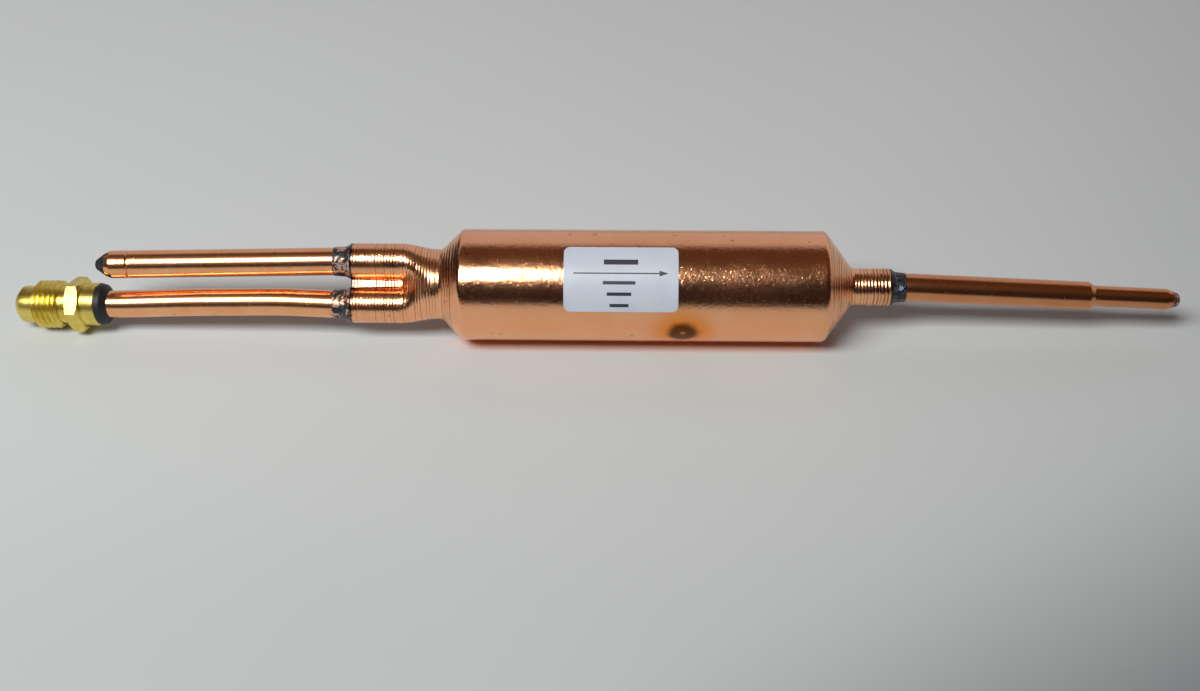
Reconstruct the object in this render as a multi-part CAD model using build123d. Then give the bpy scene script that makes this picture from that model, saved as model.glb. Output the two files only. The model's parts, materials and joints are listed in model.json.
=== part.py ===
from build123d import *
import os
from math import atan2, cos, degrees, radians, sin, tan

# A copper filter drier for a small refrigeration circuit, lying on a flat surface.
# X runs along the flow, from the twin inlet to the outlet. Z is up. Sizes are in millimetres.
# Stations along X are measured from the end of the body that faces the inlet.
# The two inlet tubes lie in one plane, the pair plane, which leans back from the vertical.

# Shell, spun from one copper tube
body_diameter = 25.4
body_length = 82.1
shell_wall = 0.8
body_edge_round = 1.6
neck_wall = 1.0
inlet_neck_diameter = 16.0
inlet_shoulder_length = 4.8
inlet_neck_length = 0.9
inlet_blend_length = 8.5
pinch_length = 11.5
pair_spacing = 9.8
pair_offset = 0.15
socket_diameter = 8.4
web_thickness = 2.6
pinch_strip_mouth = 2.0
pinch_strip_end = 1.3
pinch_strip_depth = 0.35
pinch_strip_tilt = 7.0
outlet_cone_length = 6.2
outlet_neck_diameter = 8.5
outlet_neck_length = 8.8
outlet_edge_round = 1.0
outlet_mouth_round = 0.25
pair_lean = 36.0

# The rounding at the foot of the inlet shoulder takes this much of the neck
inlet_edge_reach = 0.81612

# Blend between the pinch and the inlet neck: sections in its skins, the step where the inner skin
# starts, the last step that sets where the side arcs meet the lobes, and the arcs' least bulge
outer_section_count = 7
inner_section_count = 6
inner_first_step = 0.15
last_open_step = 0.9
least_bulge = 0.004

# Tubes
tube_diameter = 6.35
tube_wall = 0.76
tube_insertion = 8.0
joint_clearance = 0.025
stub_diameter = 4.76
stub_wall = 0.7
swage_length = 1.3

# Process tube: reach beyond the mouth of its socket, and how far it closes on the body axis
process_reach = 55.3
process_drift = 1.0
process_lead = 5.0
process_bend_radius = 80.0
cutter_ring_inset = 3.7
cutter_ring_width = 0.6
cutter_ring_depth = 0.2

# Access tube: three gentle bends between its socket and the valve
access_lead = 1.3
access_runs = (15.0, 20.0, 17.5)
access_rises = (0.50, -0.25, -0.55)
access_falls = (0.35, 0.60, 1.05)
access_bend_radii = (40.0, 150.0, 150.0, 40.0)
valve_lead = 4.55
valve_turn = -0.5
valve_dip = 8.0

# Outlet tube: droops a little from the neck
outlet_droop = 2.8
outlet_bend_lead = 4.6
outlet_bend_radius = 40.0
outlet_straight = 40.55
swage_round = 0.5
stub_length = 16.55

# Closed tips of the tubes and the braze that seals them
tip_length = 1.2
tip_wall = 0.6
tip_round = 1.4
process_tip_diameter = 5.4
process_hole_diameter = 2.4
process_seal_length = 2.4
process_nose_diameter = 1.9
process_nose_round = 0.7
outlet_tip_diameter = 4.0
outlet_hole_diameter = 1.6
outlet_seal_length = 1.9
outlet_nose_diameter = 2.6
outlet_nose_round = 1.1

# Braze at the joints
socket_braze_length = 4.0
socket_braze_height = 0.85
outlet_braze_length = 3.4
outlet_braze_height = 1.05
valve_braze_length = 2.2
valve_braze_height = 1.7
valve_braze_round = 0.6
cuff_thickness = 0.15

# Access valve body, a 1/4 inch male flare. Stations run from the nose towards the tube.
flare_front_diameter = 6.0
flare_cone_length = 1.3
nose_diameter = 8.6
nose_length = 3.3
thread_diameter = 11.11
thread_length = 6.3
thread_chamfer = 0.9
thread_chamfer_run = 0.63
undercut_diameter = 8.9
undercut_length = 2.15
hex_across_flats = 11.11
hex_length = 3.5
hex_chamfer = 0.6
hex_chamfer_inset = 0.25
hex_turn = -8.4
collar_diameter = 9.9
collar_length = 3.5
collar_round = 0.5
valve_tube_depth = 5.4
bore_overrun = 0.1

# Valve core
core_bore_diameter = 5.2
core_mouth_chamfer = 0.2
core_chamber_depth = 7.0
seat_cone_length = 1.2
seat_bore_diameter = 3.9
seat_bore_length = 3.8
core_fit = 0.05
core_chamfer = 0.3
plug_depth = 2.6
plug_length = 3.6
plug_slot_depth = 2.0
plug_flat_width = 2.6
plug_neck_diameter = 2.3
plug_neck_length = 0.8
pin_diameter = 1.2
pin_depth = 0.7
pin_clearance = 0.15
pin_travel_room = 1.0
barrel_diameter = 3.3
barrel_wall = 0.45
barrel_length = 7.0
barrel_floor = 0.8
spring_collar_diameter = 2.0
spring_collar_length = 0.5
spring_wire = 0.25
spring_turns = 7
cup_diameter = 3.4
cup_length = 1.1
cup_wall = 0.25
cup_round = 0.15
seal_proud = 0.15
rivet_proud = 0.25
rivet_length = 0.3
rivet_draft = 0.1

# Screens and desiccant inside the body
screen_ring_length = 3.0
screen_ring_wall = 0.9
screen_inset = 2.2
screen_dish = 1.3
screen_round = 2.0
flange_width = 1.2
ring_fit = 0.02
mesh_thickness = 0.35
strainer_inset = 2.2
strainer_depth = 9.0
strainer_tip_diameter = 13.0
strainer_inner_round = 0.5
strainer_outer_round = 0.8
bed_clearance = 0.15

# Label and its print
label_length = 25.4
label_height = 15.4
label_corner = 1.4
label_thickness = 0.08
label_start = 23.3
label_turn = 7.2
ink_thickness = 0.03
arrow_length = 21.0
arrow_line = 0.28
arrow_head_length = 2.0
arrow_head_height = 1.3
arrow_rise = 1.1
bar_height = 0.75
bar_lengths = (7.2, 5.4, 4.2)
bar_rises = (-1.0, -3.5, -6.1)
bar_shift = -0.4
title_bar_length = 7.6
title_bar_height = 1.2
title_bar_rise = 3.7

# Worked-out sizes
body_radius = body_diameter / 2
chamber_radius = body_radius - shell_wall
neck_radius = inlet_neck_diameter / 2
shoulder_turn = atan2(body_radius - neck_radius, inlet_shoulder_length)
inlet_edge_round = inlet_edge_reach / tan(shoulder_turn / 2)
tube_radius = tube_diameter / 2
stub_radius = stub_diameter / 2
tube_bore_radius = tube_radius - tube_wall
stub_bore_radius = stub_radius - stub_wall
socket_radius = socket_diameter / 2
socket_bore_radius = tube_radius + joint_clearance
neck_station = -inlet_shoulder_length
blend_station = neck_station - inlet_neck_length
strip_station = blend_station - inlet_blend_length
mouth_station = strip_station - pinch_length
outlet_neck_station = body_length + outlet_cone_length
outlet_mouth_station = outlet_neck_station + outlet_neck_length
half_spacing = pair_spacing / 2
process_rise = pair_offset + half_spacing
access_rise = pair_offset - half_spacing
nose_end = flare_cone_length + nose_length
thread_end = nose_end + thread_length
valve_length = thread_end + undercut_length + hex_length + collar_length
barrel_end = plug_depth + plug_length + barrel_length
collar_station = plug_depth + plug_length + plug_neck_length + pin_travel_room
cup_end = barrel_end + cup_length


def turned(*corners):
    """A solid turned about X. Each corner is a station, a radius and, where it has one, a rounding."""
    points = [corner[:2] for corner in corners]
    roundings = [corner[2] if len(corner) > 2 else 0 for corner in corners]
    if any(roundings):
        outline = FilletPolyline(*points, radius=roundings, close=True)
    else:
        outline = Polyline(*points, close=True)
    return revolve(make_face(outline.edges()), Axis.X)


def in_pair(station, rise, out=0.0):
    """A point given along X, up the pair plane, and out of it towards the front."""
    lean = radians(pair_lean)
    back = rise * sin(lean) - out * cos(lean)
    up = rise * cos(lean) + out * sin(lean)
    return Vector(station, back, up)


def along(start, direction):
    """A placing that carries local X onto a direction, with local Z up the pair plane."""
    side = in_pair(0, 1)
    square = side - direction * side.dot(direction)
    return Plane(origin=start, x_dir=direction, z_dir=square.normalized()).location


# Shell


def blend_section(step, inset):
    """The pinched end's offset, lobe rise, lobe radius and half waist, from its web (0) to its neck (1)."""
    ease = step * step * (3 - 2 * step)
    swell = 1 - (1 - step) ** 2 * (1 + step / 2)
    rise = half_spacing * (1 - ease)
    radius = socket_radius + (neck_radius - socket_radius) * ease
    waist = web_thickness / 2 + (neck_radius - web_thickness / 2) * swell
    if abs(waist - radius) < least_bulge:
        waist = radius + least_bulge
    return pair_offset * (1 - ease), rise, radius - inset, waist - inset


def join_angle(rise, radius, waist):
    """Where a lobe meets the side arc that is tangent to both lobes and passes the waist."""
    bulge = waist - radius
    centre = (rise * rise - bulge * bulge) / (2 * abs(bulge))
    angle = atan2(rise, centre)
    return angle if bulge > 0 else -angle


def lobed_wire(step, inset):
    """A closed outline of two lobes and two side arcs, square to X, at a step of the blend."""
    offset, rise, radius, waist = blend_section(step, inset)
    angle = join_angle(*blend_section(min(step, last_open_step), inset)[1:])
    station = strip_station + inlet_blend_length * step
    join_out = radius * cos(angle)
    join_rise = rise + radius * sin(angle)
    crest = rise + radius
    corners = [
        in_pair(station, offset + join_rise, join_out),
        in_pair(station, offset + join_rise, -join_out),
        in_pair(station, offset - join_rise, -join_out),
        in_pair(station, offset - join_rise, join_out),
    ]
    middles = [
        in_pair(station, offset + crest, 0),
        in_pair(station, offset, -waist),
        in_pair(station, offset - crest, 0),
        in_pair(station, offset, waist),
    ]
    arcs = [
        ThreePointArc(corners[i], middles[i], corners[(i + 1) % 4])
        for i in range(4)
    ]
    return Wire([arc.edge() for arc in arcs])


def lobed_solid(first, count, inset):
    """A smooth skin through evenly spaced sections, from a step of the blend to the round neck."""
    wires = []
    for i in range(count + 1):
        step = first + (1 - first) * i / count
        wires.append(lobed_wire(step, inset))
    return Solid.make_loft(wires)


def pinched_prism():
    """The twin socket's outside, one section over the whole length of the pinch."""
    face = Face(lobed_wire(0, 0))
    return extrude(face, pinch_length, dir=(-1, 0, 0))


def pinch_strip(side):
    """The flat mark of the pinching punch, narrower towards its inner end."""
    mouth = pinch_strip_mouth / 2
    end = pinch_strip_end / 2
    floor = web_thickness / 2
    tilt = radians(pinch_strip_tilt)
    plane = Plane(
        origin=in_pair(mouth_station, pair_offset, side * floor),
        x_dir=(1, 0, 0),
        z_dir=in_pair(0, side * sin(tilt), side * cos(tilt)),
    )
    outline = Polyline(
        (-1, -mouth),
        (pinch_length, -end),
        (pinch_length + end, 0),
        (pinch_length, end),
        (-1, mouth),
        close=True,
    )
    return extrude(plane * make_face(outline.edges()), pinch_strip_depth)


def bored(start, end, radius):
    """A plain cylinder between two stations, used as a hole."""
    return turned((start, 0), (end, 0), (end, radius), (start, radius))


def socket_bore(rise):
    """The bore that takes a tube, with a stop for the tube's end."""
    way_in = pinch_length + inlet_blend_length * 0.25
    bore = bored(0, tube_insertion, socket_bore_radius) + bored(0, way_in, tube_bore_radius)
    return Location(in_pair(mouth_station, rise)) * bore


def shell_outside():
    outlet_radius = outlet_neck_diameter / 2
    spun = turned(
        (blend_station, 0),
        (outlet_mouth_station, 0),
        (outlet_mouth_station, outlet_radius, outlet_mouth_round),
        (outlet_neck_station, outlet_radius, outlet_edge_round),
        (body_length, body_radius, body_edge_round),
        (0, body_radius, body_edge_round),
        (neck_station, neck_radius, inlet_edge_round),
        (blend_station, neck_radius),
    )
    return spun + lobed_solid(0, outer_section_count, 0) + pinched_prism()


def shell_inside():
    inner_radius = neck_radius - neck_wall
    tube_end = outlet_mouth_station - tube_insertion
    cone_end = outlet_neck_station - neck_wall
    chamber = turned(
        (blend_station, 0),
        (cone_end, 0),
        (cone_end, tube_bore_radius),
        (body_length - shell_wall / 2, chamber_radius, body_edge_round / 2),
        (shell_wall / 2, chamber_radius, body_edge_round / 2),
        (neck_station + neck_wall / 2, inner_radius, inlet_edge_round),
        (blend_station, inner_radius),
    )
    way_out = bored(body_length, outlet_mouth_station, tube_bore_radius)
    outlet_bore = bored(tube_end, outlet_mouth_station, socket_bore_radius)
    blend = lobed_solid(inner_first_step, inner_section_count, neck_wall)
    return chamber + way_out + outlet_bore + blend + socket_bore(process_rise) + socket_bore(access_rise)


def drier_shell():
    outside = shell_outside() - pinch_strip(1) - pinch_strip(-1)
    return outside - shell_inside()


# Tubes


def swept(points, bend_radii, radius):
    """A round bar along straight runs joined by tangent arcs."""
    path = FilletPolyline(*points, radius=bend_radii)
    start = Plane(origin=points[0], z_dir=points[1] - points[0])
    return sweep(start * Circle(radius), path=path)


def bent_tube(points, bend_radii):
    """A 1/4 inch tube along a route, open at both ends."""
    return swept(points, bend_radii, tube_radius) - swept(points, bend_radii, tube_bore_radius)


def closed_tip(radius, bore_radius, tip_diameter, hole_diameter):
    """A tube's spun-in tip, which starts at station 0, with the small hole that braze fills."""
    inner = tip_length - tip_wall
    hole_radius = hole_diameter / 2
    return turned(
        (-tip_round, bore_radius),
        (-tip_round, radius),
        (0, radius, tip_round),
        (tip_length, tip_diameter / 2),
        (tip_length, hole_radius),
        (inner, hole_radius),
        (-tip_wall, bore_radius),
    )


def tip_seal(tip_diameter, hole_diameter, length, nose_diameter, nose_round):
    """Braze that plugs a closed tip and stands proud of it as a blunt cone."""
    hole_radius = hole_diameter / 2
    inner = tip_length - tip_wall
    nose = tip_length + length
    return turned(
        (inner, 0),
        (nose, 0),
        (nose, nose_diameter / 2, nose_round),
        (tip_length, tip_diameter / 2),
        (tip_length, hole_radius),
        (inner, hole_radius),
    )


def process_route():
    """Inner end, bend and closed end of the process tube."""
    inner_end = in_pair(mouth_station + tube_insertion, process_rise)
    bend = in_pair(mouth_station - process_lead, process_rise)
    tip = in_pair(mouth_station - process_reach, process_rise - process_drift)
    return [inner_end, bend, tip]


def process_tip_place():
    route = process_route()
    return along(route[2], (route[2] - route[1]).normalized())


def cutter_ring():
    """V-shaped ring that a tube cutter scores near the tip, to be cut from the process tube."""
    side = cutter_ring_width / 2
    return turned(
        (-cutter_ring_inset - side, tube_radius - cutter_ring_depth),
        (-cutter_ring_inset + side, tube_radius + cutter_ring_depth),
        (-cutter_ring_inset - side * 3, tube_radius + cutter_ring_depth),
    )


def process_tube():
    route = process_route()
    direction = (route[2] - route[1]).normalized()
    route[2] = route[2] - direction * tip_round
    tube = bent_tube(route, [process_bend_radius])
    tip = closed_tip(tube_radius, tube_bore_radius, process_tip_diameter, process_hole_diameter)
    return tube + process_tip_place() * tip - process_tip_place() * cutter_ring()


def process_tip_seal():
    seal = tip_seal(
        process_tip_diameter,
        process_hole_diameter,
        process_seal_length,
        process_nose_diameter,
        process_nose_round,
    )
    return process_tip_place() * seal


def access_route():
    """Inner end, bends and valve end of the access tube."""
    station = mouth_station - access_lead
    rise = access_rise
    fall = 0.0
    route = [in_pair(mouth_station + tube_insertion, rise), in_pair(station, rise)]
    for run, step_up, step_back in zip(access_runs, access_rises, access_falls):
        station -= run
        rise += step_up
        fall += step_back
        route.append(in_pair(station, rise, -fall))
    route.append(route[-1] + nose_direction() * (valve_lead + valve_tube_depth))
    return route


def nose_direction():
    """The way the valve's nose points."""
    dip = radians(valve_dip)
    turn = radians(valve_turn)
    return in_pair(-cos(dip) * cos(turn), cos(dip) * sin(turn), -sin(dip))


def access_tube():
    return bent_tube(access_route(), access_bend_radii)


def outlet_route():
    """Inner end, bend and far end of the outlet tube's larger part."""
    droop = radians(outlet_droop)
    inner_end = Vector(outlet_mouth_station - tube_insertion, 0, 0)
    bend = Vector(outlet_mouth_station + outlet_bend_lead, 0, 0)
    direction = Vector(cos(droop), 0, -sin(droop))
    return [inner_end, bend, bend + direction * outlet_straight]


def outlet_tip_place():
    """The placing of the stub's end face, with local X pointing out."""
    route = outlet_route()
    direction = (route[2] - route[1]).normalized()
    return along(route[2] + direction * (swage_length + stub_length), direction)


def outlet_tube():
    """One tube, swaged down to the stub, with the stub's tip spun in."""
    route = outlet_route()
    lead = tube_wall * 2
    route[2] = route[2] - (route[2] - route[1]).normalized() * lead
    tube = bent_tube(route, [outlet_bend_radius])
    swage_start = -stub_length - swage_length
    stub_start = -stub_length
    stub_end = -tip_round
    stub = turned(
        (swage_start - lead, tube_bore_radius),
        (swage_start - lead, tube_radius),
        (swage_start, tube_radius, swage_round),
        (stub_start, stub_radius, swage_round),
        (stub_end, stub_radius),
        (stub_end, stub_bore_radius),
        (stub_start, stub_bore_radius),
        (swage_start, tube_bore_radius),
    )
    tip = closed_tip(stub_radius, stub_bore_radius, outlet_tip_diameter, outlet_hole_diameter)
    return tube + outlet_tip_place() * (stub + tip)


def outlet_tip_seal():
    seal = tip_seal(
        outlet_tip_diameter,
        outlet_hole_diameter,
        outlet_seal_length,
        outlet_nose_diameter,
        outlet_nose_round,
    )
    return outlet_tip_place() * seal


# Braze


def braze_cuff(mouth, inward, outward, route, bend_radii, length, height):
    """A fillet round a tube, from the mouth it enters out along the tube as a thin cuff."""
    core = tube_radius - height / 2
    cuff = turned(
        (-height, core),
        (-height, tube_radius + height),
        (0, tube_radius + height),
        (length * 0.12, tube_radius + height * 0.8),
        (length * 0.30, tube_radius + height * 0.35),
        (length * 0.90, tube_radius + cuff_thickness),
        (length, tube_radius + cuff_thickness / 2),
        (length, core),
    )
    joint = along(mouth, inward) * bored(0, length, body_radius)
    placed = along(mouth, outward.normalized()) * cuff
    return placed - joint - swept(route, bend_radii, tube_radius)


def process_socket_braze():
    route = process_route()
    return braze_cuff(
        in_pair(mouth_station, process_rise),
        Vector(1, 0, 0),
        route[1] - route[0],
        route,
        [process_bend_radius],
        socket_braze_length,
        socket_braze_height,
    )


def access_socket_braze():
    route = access_route()
    return braze_cuff(
        in_pair(mouth_station, access_rise),
        Vector(1, 0, 0),
        route[2] - route[1],
        route,
        access_bend_radii,
        socket_braze_length,
        socket_braze_height,
    )


def outlet_socket_braze():
    route = outlet_route()
    return braze_cuff(
        Vector(outlet_mouth_station, 0, 0),
        Vector(-1, 0, 0),
        route[1] - route[0],
        route,
        [outlet_bend_radius],
        outlet_braze_length,
        outlet_braze_height,
    )


def valve_braze():
    """A full, rounded fillet against the valve's collar."""
    fillet_ring = turned(
        (0, tube_radius),
        (0, tube_radius + valve_braze_height),
        (valve_braze_length * 0.5, tube_radius + valve_braze_height * 0.8, valve_braze_round),
        (valve_braze_length, tube_radius + cuff_thickness),
        (valve_braze_length, tube_radius),
    )
    return valve_place() * Location((valve_length, 0, 0)) * fillet_ring


# Access valve


def valve_place():
    """The placing of the valve's nose, with local X pointing into the tube."""
    route = access_route()
    collar_end = route[-1] - nose_direction() * valve_tube_depth
    return along(collar_end + nose_direction() * valve_length, -nose_direction())


def valve_hex():
    """The hexagon, with the chamfers that its turned ends leave."""
    corner = hex_across_flats / 2 / cos(radians(30))
    flat = hex_across_flats / 2
    start = thread_end + undercut_length
    end = start + hex_length
    outline = Plane.YZ * Rot(0, 0, hex_turn) * RegularPolygon(flat, 6, major_radius=False, rotation=30)
    bar = Location((start, 0, 0)) * extrude(outline, hex_length)
    ends = turned(
        (start, 0),
        (end, 0),
        (end, flat - hex_chamfer_inset),
        (end - hex_chamfer, corner + 0.01),
        (start + hex_chamfer, corner + 0.01),
        (start, flat - hex_chamfer_inset),
    )
    return bar & ends


def valve_bore():
    """Hole for the core, its taper seat, and the socket for the tube."""
    bore_radius = core_bore_diameter / 2
    seat_radius = seat_bore_diameter / 2
    seat_start = core_chamber_depth + seat_cone_length
    seat_end = seat_start + seat_bore_length
    tube_end = valve_length - valve_tube_depth
    return turned(
        (-bore_overrun, 0),
        (valve_length + bore_overrun, 0),
        (valve_length + bore_overrun, socket_bore_radius),
        (tube_end, socket_bore_radius),
        (tube_end, tube_bore_radius),
        (seat_end, tube_bore_radius),
        (seat_end, seat_radius),
        (seat_start, seat_radius),
        (core_chamber_depth, bore_radius),
        (core_mouth_chamfer, bore_radius),
        (-bore_overrun, bore_radius + core_mouth_chamfer + bore_overrun),
    )


def valve_body():
    nose_radius = nose_diameter / 2
    thread_radius = thread_diameter / 2
    thread_root = thread_radius - thread_chamfer
    undercut_radius = undercut_diameter / 2
    collar_radius = collar_diameter / 2
    collar_start = thread_end + undercut_length + hex_length
    outside = turned(
        (0, 0),
        (valve_length, 0),
        (valve_length, collar_radius, collar_round),
        (collar_start, collar_radius),
        (collar_start, undercut_radius),
        (thread_end, undercut_radius),
        (thread_end, thread_root),
        (thread_end - thread_chamfer_run, thread_radius),
        (nose_end + thread_chamfer_run, thread_radius),
        (nose_end, thread_root),
        (nose_end, nose_radius),
        (flare_cone_length, nose_radius),
        (0, flare_front_diameter / 2),
    )
    return valve_place() * (outside + valve_hex() - valve_bore())


# Valve core


def core_plug():
    """Threaded head with two flats, bored for the pin, with a neck that the barrel holds."""
    radius = core_bore_diameter / 2 - core_fit
    hole_radius = pin_diameter / 2 + pin_clearance
    end = plug_depth + plug_length
    head = turned(
        (plug_depth, hole_radius),
        (plug_depth, radius - core_chamfer),
        (plug_depth + core_chamfer, radius),
        (end - core_chamfer, radius),
        (end, radius - core_chamfer),
        (end, plug_neck_diameter / 2),
        (end + plug_neck_length, plug_neck_diameter / 2),
        (end + plug_neck_length, hole_radius),
    )
    side = core_bore_diameter
    flat = Box(plug_slot_depth, side, side * 2, align=(Align.MIN, Align.MIN, Align.CENTER))
    front = Location((plug_depth, plug_flat_width / 2, 0)) * flat
    back = Location((plug_depth, -plug_flat_width / 2 - side, 0)) * flat
    return valve_place() * (head - front - back)


def core_barrel():
    """Sleeve with a floor that the spring stands on and the seal closes."""
    start = plug_depth + plug_length
    end = start + barrel_length
    outer = barrel_diameter / 2
    inner = outer - barrel_wall
    hole_radius = pin_diameter / 2 + pin_clearance
    return valve_place() * turned(
        (start, inner),
        (start, outer),
        (end, outer),
        (end, hole_radius),
        (end - barrel_floor, hole_radius),
        (end - barrel_floor, inner),
    )


def core_gasket():
    """Tapered ring pressed between the barrel and the valve's seat."""
    bore_radius = core_bore_diameter / 2
    barrel_radius = barrel_diameter / 2
    seat_start = core_chamber_depth + seat_cone_length
    return valve_place() * turned(
        (core_chamber_depth - core_chamfer, barrel_radius),
        (core_chamber_depth - core_chamfer, bore_radius - core_chamfer),
        (core_chamber_depth, bore_radius),
        (seat_start, seat_bore_diameter / 2),
        (seat_start, barrel_radius),
    )


def core_spring():
    """Coil between the pin's collar and the barrel's floor."""
    start = collar_station + spring_collar_length
    end = barrel_end - barrel_floor
    wire = spring_wire / 2
    room = barrel_diameter / 2 - barrel_wall
    radius = (room + pin_diameter / 2) / 2
    height = end - start - spring_wire
    coil = Helix(height / spring_turns, height, radius)
    section = Plane(origin=coil @ 0, z_dir=coil % 0) * Circle(wire)
    spring = sweep(section, path=coil)
    return valve_place() * Location((start + wire, 0, 0)) * Rot(0, 90, 0) * spring


def core_pin():
    """Pin with a domed tip, a collar for the spring, and an inner end riveted over the cup."""
    radius = pin_diameter / 2
    collar_radius = spring_collar_diameter / 2
    return valve_place() * turned(
        (pin_depth, 0),
        (pin_depth, radius, radius * 0.6),
        (collar_station, radius),
        (collar_station, collar_radius),
        (collar_station + spring_collar_length, collar_radius),
        (collar_station + spring_collar_length, radius),
        (cup_end, radius),
        (cup_end, radius + rivet_proud),
        (cup_end + rivet_length, radius + rivet_proud - rivet_draft),
        (cup_end + rivet_length, 0),
    )


def core_cup():
    """Small cup that carries the seal."""
    radius = cup_diameter / 2
    start = barrel_end + seal_proud
    return valve_place() * turned(
        (start, radius - cup_wall),
        (start, radius),
        (cup_end, radius, cup_round),
        (cup_end, pin_diameter / 2),
        (cup_end - cup_wall, pin_diameter / 2),
        (cup_end - cup_wall, radius - cup_wall),
    )


def core_seal():
    """Rubber washer that closes the barrel's floor."""
    return valve_place() * bored_ring(
        barrel_end,
        cup_end - cup_wall,
        pin_diameter / 2,
        cup_diameter / 2 - cup_wall,
    )


def bored_ring(start, end, inner, outer):
    """A plain ring between two stations."""
    return turned((start, inner), (start, outer), (end, outer), (end, inner))


# Screens and desiccant


def inlet_screen_ring():
    """Ring pressed in the body, with a flange on the inlet side."""
    outer = chamber_radius - ring_fit
    inner = outer - screen_ring_wall
    start = screen_inset
    end = start + screen_ring_length
    return turned(
        (start, inner - flange_width),
        (start, outer),
        (end, outer),
        (end, inner),
        (start + screen_ring_wall / 2, inner),
        (start + screen_ring_wall / 2, inner - flange_width),
    )


def inlet_screen_mesh():
    """Dished screen that the beads press against the ring's flange."""
    rim = chamber_radius - ring_fit - screen_ring_wall
    seat = screen_inset + screen_ring_wall / 2
    knee = rim - flange_width
    crown = knee * 0.7
    return turned(
        (seat - screen_dish, 0),
        (seat - screen_dish, crown, screen_round),
        (seat, knee),
        (seat, rim),
        (seat + mesh_thickness, rim),
        (seat + mesh_thickness, knee),
        (seat - screen_dish + mesh_thickness, crown, screen_round),
        (seat - screen_dish + mesh_thickness, 0),
    )


def outlet_strainer_ring():
    """Ring pressed in the body, with a flange on the outlet side."""
    outer = chamber_radius - ring_fit
    inner = outer - screen_ring_wall
    end = body_length - strainer_inset
    start = end - screen_ring_length
    flange = end - screen_ring_wall / 2
    return turned(
        (start, inner),
        (start, outer),
        (end, outer),
        (end, inner - flange_width),
        (flange, inner - flange_width),
        (flange, inner),
    )


def outlet_strainer_mesh():
    """Fine mesh cup that stands into the beads, with its rim on the ring's flange."""
    rim = chamber_radius - ring_fit - screen_ring_wall
    seat = body_length - strainer_inset - screen_ring_wall / 2
    knee = rim - flange_width
    tip = strainer_tip_diameter / 2
    top = seat - strainer_depth
    return turned(
        (seat, rim),
        (seat, knee),
        (top + mesh_thickness, tip, strainer_inner_round),
        (top + mesh_thickness, 0),
        (top, 0),
        (top, tip + mesh_thickness / 2, strainer_outer_round),
        (seat - mesh_thickness, knee + mesh_thickness),
        (seat - mesh_thickness, rim),
    )


def desiccant_bed():
    """The packed beads, as the one mass that fills the room between the screens."""
    wall = chamber_radius - bed_clearance
    ring_inner = chamber_radius - ring_fit - screen_ring_wall
    room = ring_inner - bed_clearance
    inlet_seat = screen_inset + screen_ring_wall / 2 + mesh_thickness
    inlet_ring_end = screen_inset + screen_ring_length + bed_clearance
    outlet_seat = body_length - strainer_inset - screen_ring_wall / 2 - mesh_thickness
    outlet_ring_start = body_length - strainer_inset - screen_ring_length - bed_clearance
    top = outlet_seat + mesh_thickness - strainer_depth
    tip = strainer_tip_diameter / 2
    knee = ring_inner - flange_width
    return turned(
        (inlet_seat, 0),
        (inlet_seat, room),
        (inlet_ring_end, room),
        (inlet_ring_end, wall),
        (outlet_ring_start, wall),
        (outlet_ring_start, room),
        (outlet_seat, room),
        (outlet_seat, knee + mesh_thickness * 1.6),
        (top - bed_clearance, tip + mesh_thickness * 1.6),
        (top - bed_clearance, 0),
    )


# Label


def facing(turn):
    """A plane through the axis that faces out of the body, turned up from the pair plane's face."""
    angle = radians(turn)
    outward = in_pair(0, sin(angle), cos(angle))
    return Plane(origin=(label_start + label_length / 2, 0, 0), x_dir=(1, 0, 0), z_dir=outward)


def wrapped(sketch, turn, inner, thickness):
    """A flat outline laid on the body at a turn about its axis, as a thin curved patch."""
    block = extrude(facing(turn) * sketch, inner + 1)
    middle = label_start + label_length / 2
    skin = bored_ring(middle - label_length, middle + label_length, inner, inner + thickness)
    return block & skin


def label():
    """Rounded paper patch. Its outline is the flat one's chord, so it wraps to the full height."""
    chord = 2 * body_radius * sin(label_height / 2 / body_radius)
    return wrapped(
        RectangleRounded(label_length, chord, label_corner),
        label_turn,
        body_radius,
        label_thickness,
    )


def printed(sketch, rise):
    """A mark on the label, a rise up from the label's middle."""
    turn = label_turn + degrees(rise / body_radius)
    return wrapped(sketch, turn, body_radius + label_thickness, ink_thickness)


def label_print():
    """A flow arrow that points to the outlet, and plain bars."""
    head_base = arrow_length / 2 - arrow_head_length
    line = Location((-arrow_head_length / 2, 0)) * Rectangle(arrow_length - arrow_head_length, arrow_line)
    head = Polyline(
        (head_base, -arrow_head_height / 2),
        (arrow_length / 2, 0),
        (head_base, arrow_head_height / 2),
        close=True,
    )
    arrow = line + make_face(head.edges())
    marks = [printed(arrow, arrow_rise)]
    title = Rectangle(title_bar_length, title_bar_height)
    marks.append(printed(title, title_bar_rise))
    for length, rise in zip(bar_lengths, bar_rises):
        bar = Location((bar_shift, 0)) * Rectangle(length, bar_height)
        marks.append(printed(bar, rise))
    return Compound([solid for mark in marks for solid in mark.solids()])


# Assembly

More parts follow.
